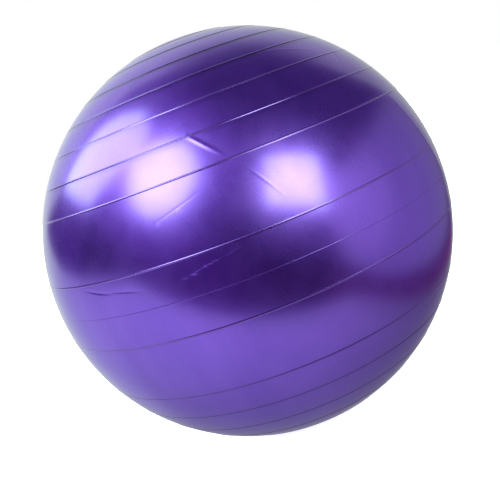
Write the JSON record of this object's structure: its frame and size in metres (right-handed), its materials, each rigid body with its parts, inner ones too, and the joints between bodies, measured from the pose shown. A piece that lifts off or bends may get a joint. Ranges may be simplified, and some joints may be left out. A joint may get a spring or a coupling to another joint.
{
  "type": "exercise ball",
  "caption": "Inflated exercise ball with raised ring ribs round one axis, a bonded valve seat at the top pole and a push-in valve plug.",
  "frame": {"origin": "the bottom pole, where the ball rests on the floor", "axes": "+Z along the axis of the ring ribs, from the resting pole to the valve pole; X and Y lie in the plane of the floor"},
  "size_m": [0.6504, 0.6504, 0.6499],
  "materials": {
    "pearl_vinyl": "pearl gloss",
    "seat_vinyl": "satin",
    "plug_plastic": "satin"
  },
  "bodies": {
    "ball": {"ball_skin": "pearl_vinyl", "valve_seat": "seat_vinyl"},
    "plug": {"valve_plug": "plug_plastic"}
  },
  "joints": [
    {"name": "plug_pull", "type": "slide", "parent": "ball", "child": "plug", "axis": [0, 0, 1], "range_m": [0, 0.035]}
  ]
}
